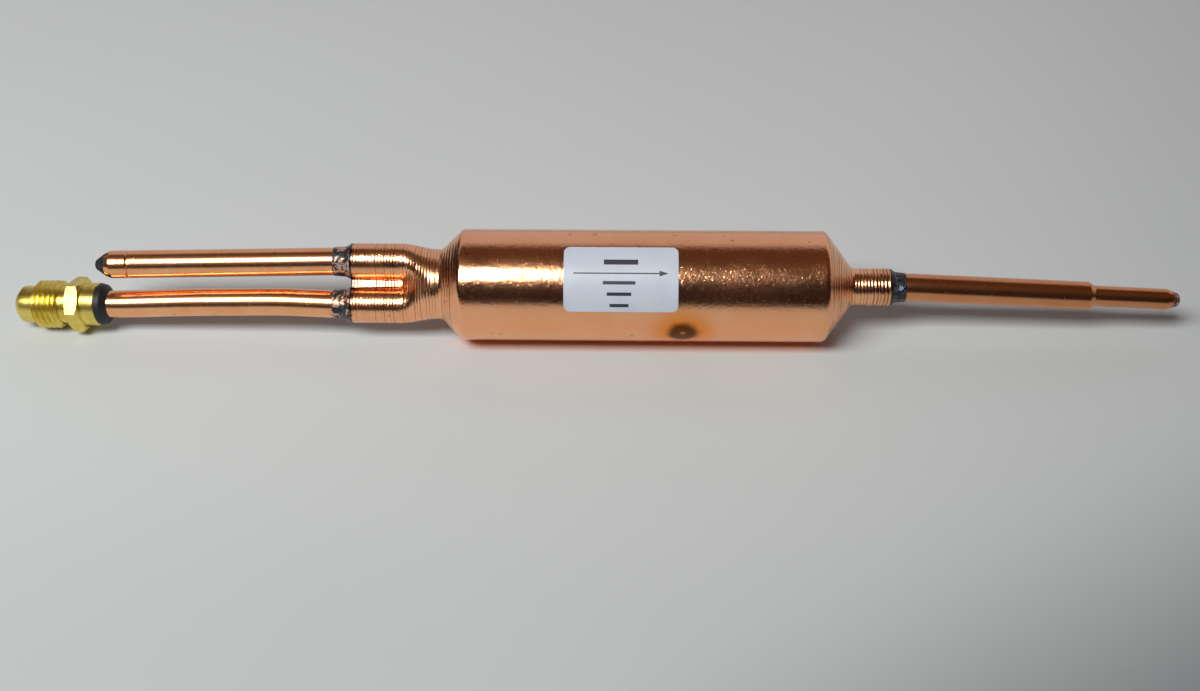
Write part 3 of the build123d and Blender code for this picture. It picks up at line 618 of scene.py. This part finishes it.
# the two colours of the grain, roughness, metallic, height of the grain
solidKinds = {
    "coreGasket": ((0.8, 0.8, 0.77, 1), (0.7, 0.7, 0.66, 1), 0.5, 0.0, 0.01),
    "sealRubber": ((0.03, 0.03, 0.03, 1), (0.06, 0.06, 0.06, 1), 0.6, 0.0, 0.02),
    "springSteel": ((0.55, 0.55, 0.56, 1), (0.4, 0.4, 0.42, 1), 0.22, 1.0, 0.004),
}


def plainSolid(name):
    # a grain in colour, roughness and height
    look = solidFinish
    first, second, roughness, metallic, relief = solidKinds[name]
    material, tree, shader, place = newMaterial(name)
    grain = noise(tree, place, **look["grain"])
    colour = mixColours(tree, remap(tree, grain, *look["edge"]), first, second)
    feed(tree, shader, Base_Color=colour, Metallic=metallic,
         Roughness=calc(tree, "ADD", roughness, scaled(grain, look["wear"])),
         Normal=bump(tree, scaled(grain, relief)))
    return material


weaveFinish = {
    "paintedGapShade": (0.05, 0.05, 0.05, 1), "wire": (0.56, 0.55, 0.53, 1), "wireEdge": (0.05, 0.5),
    "gapRoughness": 0.6, "wireRoughness": 0.3, "metallic": 0.9,
    "relief": 0.2,                           # in shares of the pitch
    "pitches": {"screenWeave": 0.6, "strainerWeave": 0.3},
}


def wovenSteel(name):
    # wires over and under: the product of two sines across each other, in height and colour; painted shade
    # darkens the gaps between the wires
    look = weaveFinish
    pitch = look["pitches"][name]
    material, tree, shader, place = newMaterial(name)
    turns = 2 * math.pi / pitch
    waves = [calc(tree, "SINE", scaled(coordinate(tree, place, axis), turns)) for axis in (1, 2)]
    weave = scaled(*waves)
    wire = remap(tree, calc(tree, "ABSOLUTE", weave), *look["wireEdge"])
    feed(tree, shader, Metallic=look["metallic"],
         Base_Color=mixColours(tree, wire, look["paintedGapShade"], look["wire"]),
         Roughness=mixValues(tree, wire, look["gapRoughness"], look["wireRoughness"]),
         Normal=bump(tree, scaled(weave, pitch * look["relief"])))
    return material


beadFinish = {
    "dull": (0.62, 0.54, 0.42, 1), "pale": (0.78, 0.72, 0.62, 1), "paintedGapShade": (0.25, 0.2, 0.15, 1),
    "cells": 0.6, "chance": 0.6, "paintedGapShadeEdge": (0.45, 0.8), "roughness": (0.7, 0.85), "relief": 0.8,
}


def packedBeads():
    # round beads: the height falls with the distance to the nearest cell centre; painted shade darkens the
    # gaps between them
    look = beadFinish
    material, tree, shader, place = newMaterial("packedBeads")
    wires = {"Vector": place, "Scale": look["cells"], "Randomness": look["chance"]}
    bead = put(tree, "TexVoronoi", wires).outputs
    tone = channel(tree, bead["Color"], 0)
    colour = mixColours(tree, tone, look["dull"], look["pale"])
    colour = mixColours(tree, remap(tree, bead["Distance"], *look["paintedGapShadeEdge"]), colour, look["paintedGapShade"])
    feed(tree, shader, Base_Color=colour, Roughness=mixValues(tree, tone, *look["roughness"]), Metallic=0.0,
         Normal=bump(tree, scaled(turnedOver(bead["Distance"]), look["relief"])))
    return material


# Valve body with its thread

port = mounts["access_port"]        # its place is the middle of the thread, its axis points out of the nose
valveShape = {      # stations run from the flare's front into the tube
    "frontRadius": 3.0, "frontChamfer": 0.08,
    "flare": 1.3, "flareEase": 0.1, "noseRadius": 4.3, "noseEnd": 4.6, "noseEase": 0.12, "noseLip": 0.02,
    "threadRadius": port["dims"]["r_mm"], "threadEnd": 10.9, "pitch": 1.27, "threadDepth": 0.72,
    "crestFlat": 0.14, "rootFlat": 0.2,      # in shares of half a pitch
    "threadChamfer": 0.85, "threadChamferSlope": 0.7,
    "undercutRadius": 4.45, "undercutEnd": 13.05,
    "hexFlat": 5.555, "hexEnd": 16.55, "hexTurn": -8.4, "hexChamfer": 0.6, "hexInset": 0.25,
    "collarRadius": 4.95, "collarEnd": 20.05, "collarRound": 0.5,
    "tubeStop": 14.65, "tubeHole": 3.2, "tubeBore": 2.415,
    "seatEnd": 12.0, "seatStart": 8.2, "seatRadius": 1.95,
    "boreEnd": 7.0, "boreRadius": 2.6,
    "coreThread": (6.4, 0.5), "coreThreadDepth": 0.18, "corePitch": 0.706, "coreThreadFade": 0.4,
    "mouthRound": ((0.35, 0.0), (0.2, 0.02), (0.0, 0.2)),       # stations, and the bore's growth there
    "stepWidth": 0.01,                       # length of a face that is square to the axis
    "segments": 144, "threadRows": 100, "hexRows": 8, "roundRows": 7, "coreRows": 90,
}


def valveFrame():
    # columns: local X into the tube, local Y, and local Z up the pair plane
    inward = -Vector(port["axis"]).normalized()
    lean = math.radians(pairLean)
    up = Vector((0, math.sin(lean), math.cos(lean)))
    up = (up - inward * up.dot(inward)).normalized()
    return Matrix((inward, up.cross(inward), up)).transposed()


def flareFront():
    # the mount's place, half the thread's length and the nose's length further out
    middle = (valveShape["noseEnd"] + valveShape["threadEnd"]) / 2
    return Vector(port["pos_m"]) / mm + Vector(port["axis"]) * middle


def valveProfile():
    # the rows of the closed outline from the flare's front, round the outside and back through the bore:
    # station, radius, and the form that the row's radius follows
    v = valveShape
    step = v["stepWidth"]
    hexStart, hexEnd, chamfer = v["undercutEnd"], v["hexEnd"], v["hexChamfer"]
    arc = np.linspace(0, np.pi / 2, v["roundRows"])
    mouthStations, mouthGrowth = np.array(v["mouthRound"]).T
    sections = [
        ([0, v["frontChamfer"]], [v["frontRadius"] - v["frontChamfer"], v["frontRadius"]], "plain"),
        ([v["flare"] - v["flareEase"], v["flare"] + v["noseEase"]],
         [v["noseRadius"] - v["flareEase"], v["noseRadius"]], "plain"),
        ([v["noseEnd"] - v["noseEase"], v["noseEnd"]],
         [v["noseRadius"], v["noseRadius"] + v["noseLip"]], "plain"),
        (np.linspace(v["noseEnd"], v["threadEnd"], v["threadRows"]), v["threadRadius"], "thread"),
        ([v["threadEnd"] + step, hexStart - step], v["undercutRadius"], "plain"),
        (np.linspace(hexStart, hexStart + chamfer, v["hexRows"]), v["hexFlat"], "hexagon"),
        (np.linspace(hexEnd - chamfer, hexEnd, v["hexRows"]), v["hexFlat"], "hexagon"),
        ([hexEnd + step], v["collarRadius"], "plain"),
        (v["collarEnd"] - v["collarRound"] * (1 - np.sin(arc)),
         v["collarRadius"] - v["collarRound"] * (1 - np.cos(arc)), "plain"),
        ([v["collarEnd"]], v["tubeHole"], "plain"),
        ([v["tubeStop"], v["tubeStop"] - step], [v["tubeHole"], v["tubeBore"]], "plain"),
        ([v["seatEnd"], v["seatEnd"] - step], [v["tubeBore"], v["seatRadius"]], "plain"),
        ([v["seatStart"], v["boreEnd"]], [v["seatRadius"], v["boreRadius"]], "plain"),
        (np.linspace(*v["coreThread"], v["coreRows"]), v["boreRadius"], "coreThread"),
        (mouthStations, v["boreRadius"] + mouthGrowth, "plain"),
    ]
    stations = np.concatenate([np.asarray(rows, float) for rows, size, form in sections])
    radii = np.concatenate([np.broadcast_to(size, len(rows)) for rows, size, form in sections])
    forms = np.concatenate([np.full(len(rows), form) for rows, size, form in sections])
    return stations[:, None], radii[:, None], forms[:, None]


def valveThreadedBody():
    # Each row of the profile is turned about local X by t. Its radius depends on its station s and on t:
    # thread: crest radius less depth times a clipped triangle wave of s / pitch - t / full turn
    # hexagon: half flats / cos(t wrapped to within 30 degrees of a flat), never past the chamfer cone
    # core thread: bore radius plus depth times a triangle wave of s / its pitch - t / full turn
    v = valveShape
    station, radius, form = valveProfile()
    turn = np.radians(v["hexTurn"]) + np.linspace(0, 2 * np.pi, v["segments"], endpoint=False)
    turnShare = turn / (2 * np.pi)

    wave = np.abs(2 * ((station / v["pitch"] - turnShare) % 1.0) - 1)            # 0 at a root, 1 at a crest
    belowCrest = (1 - v["crestFlat"] - wave) / (1 - v["crestFlat"] - v["rootFlat"])
    crested = v["threadRadius"] - v["threadDepth"] * np.clip(belowCrest, 0, 1)
    fromEnds = np.minimum(station - v["noseEnd"], v["threadEnd"] - station)
    chamfer = v["threadRadius"] - v["threadChamfer"] + fromEnds / v["threadChamferSlope"]

    wrapped = (turn - np.radians(v["hexTurn"]) + np.pi / 6) % (np.pi / 3)
    hexRadius = v["hexFlat"] / np.cos(wrapped - np.pi / 6)
    coneFoot = v["hexFlat"] - v["hexInset"]
    coneTop = v["hexFlat"] / np.cos(np.pi / 6) + v["stepWidth"]
    fromHexEnds = np.minimum(station - v["undercutEnd"], v["hexEnd"] - station)
    cone = coneFoot + (coneTop - coneFoot) * np.clip(fromHexEnds / v["hexChamfer"], 0, 1)

    coreWave = np.abs(2 * ((station / v["corePitch"] - turnShare) % 1.0) - 1)
    fromCoreEnds = np.minimum(v["coreThread"][0] - station, station - v["coreThread"][1])
    fade = np.clip(fromCoreEnds / v["coreThreadFade"], 0, 1)

    radius = radius + np.zeros_like(turn)
    radius = np.where(form == "thread", np.minimum(crested, chamfer), radius)
    radius = np.where(form == "hexagon", np.minimum(hexRadius, cone), radius)
    radius = np.where(form == "coreThread", v["boreRadius"] + v["coreThreadDepth"] * coreWave * fade, radius)
    local = np.stack((station + np.zeros_like(turn), radius * np.cos(turn), radius * np.sin(turn)), axis=-1)
    return local @ np.array(valveTurn).T + np.array(valveFront)


def closedPiece(name, points, sharpAngle=32.0):
    # points[i, j]: i along the profile and j round it; quads join neighbours and both ways close
    index = np.arange(points.shape[0] * points.shape[1]).reshape(points.shape[:2])
    following = np.roll(index, -1, axis=0)
    corners = (index, np.roll(index, -1, axis=1), np.roll(following, -1, axis=1), following)
    faces = np.stack(corners, axis=-1).reshape(-1, 4)
    mesh = bpy.data.meshes.new(name)
    mesh.from_pydata((points * mm).reshape(-1, 3).tolist(), [], faces.tolist())
    mesh.update()
    mesh.shade_smooth()
    mesh.set_sharp_from_angle(angle=math.radians(sharpAngle))
    piece = bpy.data.objects.new(name, mesh)
    bpy.context.scene.collection.objects.link(piece)
    return piece


valveTurn, valveFront = valveFrame(), flareFront()
valveBody = closedPiece("valveBodyThreaded", valveThreadedBody())
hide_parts("valve_body")
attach(valveBody, "drier")
print("valve body threaded")


# Every visible node gets its material

nodeMaterials = {
    "drier_shell": shellCopper(),
    "process_tube": tubeCopper("processTubeCopper", sootReach=3.2),
    "access_tube": tubeCopper("accessTubeCopper", sootReach=4.2),
    # painted shade on the outlet tube, which lies on the dim right side
    "outlet_tube": tubeCopper("outletTubeCopper", paintedShade=0.48),
    "process_socket_braze": brazeMetal("socketBraze"),
    # the outlet braze carries a painted glint
    "outlet_socket_braze": brazeMetal("outletBraze", paintedGlint=True),
    "valve_braze": brazeMetal("valveBraze"),
    "process_tip_seal": brazeMetal("tipBraze"),
    "outlet_tip_seal": brazeMetal("outletTipBraze"),
    "core_plug": turnedBrass("coreBrass", valveFront, valveTurn, brassFinish["coreToolMarks"]),
    "core_gasket": plainSolid("coreGasket"),
    "core_seal": plainSolid("sealRubber"),
    "core_spring": plainSolid("springSteel"),
    "inlet_screen_ring": turnedBrass("ringBrass", (0, 0, axisHeight)),
    "inlet_screen_mesh": wovenSteel("screenWeave"),
    "outlet_strainer_mesh": wovenSteel("strainerWeave"),
    "desiccant_bed": packedBeads(),
    "label": labelPaper(),
    "label_print": labelInk(),
}
sameFinish = {
    "access_socket_braze": "process_socket_braze",
    "core_barrel": "core_plug",
    "core_pin": "core_plug",
    "core_cup": "core_plug",
    "outlet_strainer_ring": "inlet_screen_ring",
}


def dress(piece, material):
    piece.data.materials.clear()
    piece.data.materials.append(material)


for name, piece in parts.items():
    if name != "valve_body":
        dress(piece, nodeMaterials[sameFinish.get(name, name)])
dress(valveBody, turnedBrass("valveBrass", valveFront, valveTurn))
print("materials placed on", len(parts), "nodes")


# Floor, light and camera

floorFinish = {
    "reach": 4.0,                            # metres from the middle to each side, enough for the horizon
    "pale": (0.57, 0.605, 0.60, 1),
    # painted shade: the floor darker to the right, towards the front and in the near right corner, as the key
    # light falls off
    "shade": (0.36, 0.40, 0.40, 1), "shadeSlope": (1.0, -0.45), "shadeEdge": (20.0, 330.0),
    "paintedCornerShade": (0.05, 0.065, 0.075, 1), "paintedCornerShadeSlope": (0.6, -1.0), "paintedCornerShadeEdge": (105.0, 228.0),
    "cloud": (0.52, 0.54, 0.54, 1), "cloudNoise": {"scale": 0.012, "detail": 3.0},
    "cloudEdge": (0.3, 0.7), "cloudStrength": 0.12,
    "nearShadeEdge": (-15.0, -120.0), "nearShadeShare": 0.86,
    "bounce": (0.95, 0.52, 0.38, 1), "bounceStrength": 0.7,
    "bounceCentre": (11.6, -4.5), "bounceLength": (36.0, 46.0), "bounceWidth": (1.0, 5.0),
    "roughness": 0.6, "specular": 0.25,
}


def makeFloor():
    # one square sheet, z = 0
    look = floorFinish
    reach = look["reach"]
    corners = [(-reach, -reach, 0), (reach, -reach, 0), (reach, reach, 0), (-reach, reach, 0)]
    mesh = bpy.data.meshes.new("floor")
    mesh.from_pydata(corners, [], [(0, 1, 2, 3)])
    floor = bpy.data.objects.new("floor", mesh)
    bpy.context.scene.collection.objects.link(floor)
    material, tree, shader, place = newMaterial("paleFloor")
    x, y = coordinate(tree, place, 0), coordinate(tree, place, 1)
    colour = look["pale"]
    for name in ("shade", "paintedCornerShade"):
        # painted shade of the key light's falloff: darker to the right, and most in the near right corner
        acrossX, acrossY = look[name + "Slope"]
        slope = calc(tree, "ADD", scaled(x, acrossX), scaled(y, acrossY))
        colour = mixColours(tree, remap(tree, slope, *look[name + "Edge"]), colour, look[name])
    cloud = noise(tree, place, **look["cloudNoise"])
    cloudShare = remap(tree, cloud, *look["cloudEdge"], 0.0, look["cloudStrength"])
    colour = mixColours(tree, cloudShare, colour, look["cloud"])
    # painted shade: darker towards the front, as the key light falls off
    near = remap(tree, y, *look["nearShadeEdge"], 1.0, look["nearShadeShare"])
    colour = mixColours(tree, near, (0, 0, 0, 1), colour)
    # copper-coloured light that the body throws on the floor along its foot
    fromX, fromY = (calc(tree, "ABSOLUTE", calc(tree, "SUBTRACT", across, centre))
                    for across, centre in zip((x, y), look["bounceCentre"]))
    length = remap(tree, fromX, *look["bounceLength"], 1.0, 0.0)
    width = remap(tree, fromY, *look["bounceWidth"], 1.0, 0.0)
    bounce = scaled(scaled(width, length), look["bounceStrength"])
    feed(tree, shader, Base_Color=mixColours(tree, bounce, colour, look["bounce"]), Metallic=0.0,
         Roughness=look["roughness"], Specular_IOR_Level=look["specular"])
    dress(floor, material)


roomLight = {
    "room": (0.025, 0.016, 0.016, 1),
    "ceiling": (0.085, 0.045, 0.022, 1),
    "backdrop": (0.52, 0.49, 0.53, 1),
    "stops": ((0.0, "room"), (0.22, "room"), (0.40, "ceiling"), (0.66, "ceiling"), (0.73, "backdrop"),
              (1.0, "backdrop")),            # in half turns about X from the front horizon, over the top
    "darkSide": (0.012, 0.010, 0.010, 1), "darkSideEdge": (0.38, 0.65), "darkSideTop": (0.35, 0.6),
}


def makeWorld():
    # colour by the turn about X from the front horizon: dark room, brown ceiling, pale backdrop behind;
    # the left side is dark below the top of it
    look = roomLight
    world = bpy.data.worlds.new("studio")
    bpy.context.scene.world = world
    world.use_nodes = True
    tree = world.node_tree
    tree.nodes.clear()
    x, y, z = (coordinate(tree, put(tree, "TexCoord").outputs["Generated"], axis) for axis in range(3))
    share = calc(tree, "DIVIDE", calc(tree, "ARCTAN2", z, scaled(y, -1.0)), math.pi)
    ramp = put(tree, "ValToRGB", {0: share})
    elements = ramp.color_ramp.elements
    while len(elements) < len(look["stops"]):
        elements.new(0.5)
    for element, (position, name) in zip(elements, look["stops"]):
        element.position = position
        element.color = look[name]
    side = remap(tree, scaled(x, -1.0), *look["darkSideEdge"])
    low = remap(tree, z, *look["darkSideTop"], 1.0, 0.0)
    colour = mixColours(tree, scaled(side, low), ramp.outputs[0], look["darkSide"])
    background = put(tree, "Background", {0: colour, 1: 1.0})
    put(tree, "OutputWorld", {0: background.outputs[0]})


softbox = {
    "watts": 18.3,
    "centre": (-0.55, -0.62, 0.98),          # metres
    "size": (0.88, 0.40),                    # metres, along X and across
}


def makeKeyLight():
    lamp = bpy.data.lights.new("softbox", "AREA")
    lamp.shape = "RECTANGLE"
    lamp.size, lamp.size_y = softbox["size"]
    lamp.energy = softbox["watts"]
    holder = bpy.data.objects.new("softbox", lamp)
    bpy.context.scene.collection.objects.link(holder)
    holder.location = softbox["centre"]
    toBody = Vector((0.0, 0.0, axisHeight * mm)) - Vector(softbox["centre"])
    toBody.x = 0.0                           # the softbox stays level along X
    holder.rotation_euler = toBody.to_track_quat("-Z", "Y").to_euler()


cameraPlace = {
    "target": (1.6, 0.0, axisHeight),        # where the line from the camera meets the body's axis
    "distance": 377.0,
    "elevation": 36.0,
    "turn": 1.4,
    "roll": 0.44,
    "down": 38.087,                          # the optical axis, below the horizon
    "focal": 1650.0, "pictureWidth": 1200.0,     # pixels
    "sensor": 36.0,
    "clipStart": 0.01,                       # metres
}


def makeCamera():
    c = cameraPlace
    elevation, turn, roll, down = (math.radians(c[key]) for key in ("elevation", "turn", "roll", "down"))
    back = Vector((math.sin(turn), -math.cos(turn), 0))
    offset = back * math.cos(elevation) + Vector((0, 0, math.sin(elevation)))
    forward = -back * math.cos(down) - Vector((0, 0, math.sin(down)))
    right = Vector((math.cos(turn), math.sin(turn), 0))
    up = right.cross(forward)
    right, up = right * math.cos(roll) - up * math.sin(roll), up * math.cos(roll) + right * math.sin(roll)
    lens = bpy.data.cameras.new("camera")
    lens.sensor_width = c["sensor"]
    lens.lens = c["sensor"] * c["focal"] / c["pictureWidth"]
    lens.clip_start = c["clipStart"]
    camera = bpy.data.objects.new("camera", lens)
    bpy.context.scene.collection.objects.link(camera)
    place = (Vector(c["target"]) + offset * c["distance"]) * mm
    camera.matrix_world = Matrix.Translation(place) @ Matrix((right, up, -forward)).transposed().to_4x4()
    bpy.context.scene.camera = camera


makeFloor()
makeWorld()
makeKeyLight()
makeCamera()
bpy.context.scene.view_settings.view_transform = "Standard"
print("floor, light and camera set")
